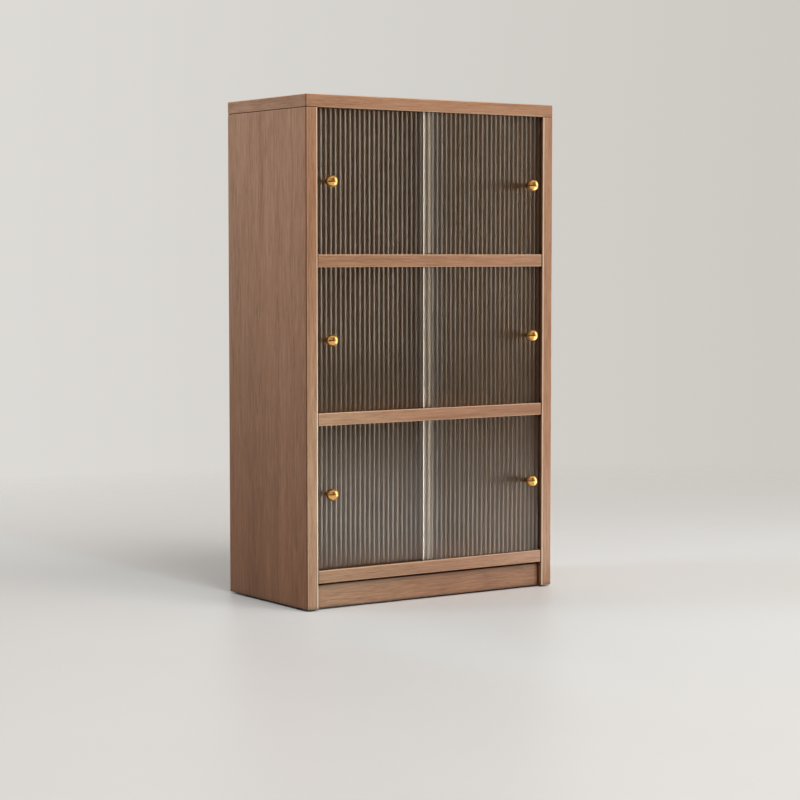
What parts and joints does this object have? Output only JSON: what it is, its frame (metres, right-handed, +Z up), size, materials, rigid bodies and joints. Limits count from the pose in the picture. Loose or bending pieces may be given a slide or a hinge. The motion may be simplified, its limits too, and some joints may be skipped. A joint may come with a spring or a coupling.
{
  "type": "sliding-door storage cabinet",
  "caption": "Tall free-standing wood cabinet with a recessed plinth and stacked tiers, each closed by a pair of sliding reeded-glass doors with ball knobs.",
  "frame": {"origin": "on the floor, in the middle of the width and of the depth over the knobs", "axes": "+Z up, +X to the right seen from the front, front towards -Y"},
  "size_m": [0.6, 0.328, 1],
  "materials": {
    "wood_veneer": "satin walnut-tone veneer",
    "back_sheet": "thin sheet, dark walnut print",
    "reeded_glass": "smoky reeded",
    "polished_brass": "polished gold tone",
    "track_plastic": "matte brown",
    "clear_silicone": "clear soft washers",
    "steel": "bright zinc plated",
    "zinc": "die-cast",
    "beech": "fluted beech",
    "glide_plastic": "matte dark brown"
  },
  "bodies": {
    "carcass": {"top_panel": "wood_veneer", "left_side_panel": "wood_veneer", "right_side_panel": "wood_veneer", "upper_shelf": "wood_veneer", "lower_shelf": "wood_veneer", "bottom_panel": "wood_veneer", "front_plinth": "wood_veneer", "rear_plinth": "wood_veneer", "back_panel": "back_sheet", "bottom_upper_track": "track_plastic", "bottom_lower_track": "track_plastic", "middle_upper_track": "track_plastic", "middle_lower_track": "track_plastic", "top_upper_track": "track_plastic", "top_lower_track": "track_plastic", "cam_locks": "zinc", "cam_bolts": "steel", "wood_dowels": "beech", "back_panel_screws": "steel", "foot_glides": "glide_plastic"},
    "bottom_left_door": {"bottom_left_glass": "reeded_glass", "bottom_left_knob": "polished_brass", "bottom_left_knob_screw": "steel", "bottom_left_knob_washers": "clear_silicone"},
    "bottom_right_door": {"bottom_right_glass": "reeded_glass", "bottom_right_knob": "polished_brass", "bottom_right_knob_screw": "steel", "bottom_right_knob_washers": "clear_silicone"},
    "middle_left_door": {"middle_left_glass": "reeded_glass", "middle_left_knob": "polished_brass", "middle_left_knob_screw": "steel", "middle_left_knob_washers": "clear_silicone"},
    "middle_right_door": {"middle_right_glass": "reeded_glass", "middle_right_knob": "polished_brass", "middle_right_knob_screw": "steel", "middle_right_knob_washers": "clear_silicone"},
    "top_left_door": {"top_left_glass": "reeded_glass", "top_left_knob": "polished_brass", "top_left_knob_screw": "steel", "top_left_knob_washers": "clear_silicone"},
    "top_right_door": {"top_right_glass": "reeded_glass", "top_right_knob": "polished_brass", "top_right_knob_screw": "steel", "top_right_knob_washers": "clear_silicone"}
  },
  "joints": [
    {"name": "bottom_left_door_slide", "type": "slide", "parent": "carcass", "child": "bottom_left_door", "axis": [1, 0, 0], "range_m": [0, 0.218]},
    {"name": "bottom_right_door_slide", "type": "slide", "parent": "carcass", "child": "bottom_right_door", "axis": [1, 0, 0], "range_m": [-0.218, 0]},
    {"name": "middle_left_door_slide", "type": "slide", "parent": "carcass", "child": "middle_left_door", "axis": [1, 0, 0], "range_m": [0, 0.218]},
    {"name": "middle_right_door_slide", "type": "slide", "parent": "carcass", "child": "middle_right_door", "axis": [1, 0, 0], "range_m": [-0.218, 0]},
    {"name": "top_left_door_slide", "type": "slide", "parent": "carcass", "child": "top_left_door", "axis": [1, 0, 0], "range_m": [0, 0.218]},
    {"name": "top_right_door_slide", "type": "slide", "parent": "carcass", "child": "top_right_door", "axis": [1, 0, 0], "range_m": [-0.218, 0]}
  ]
}
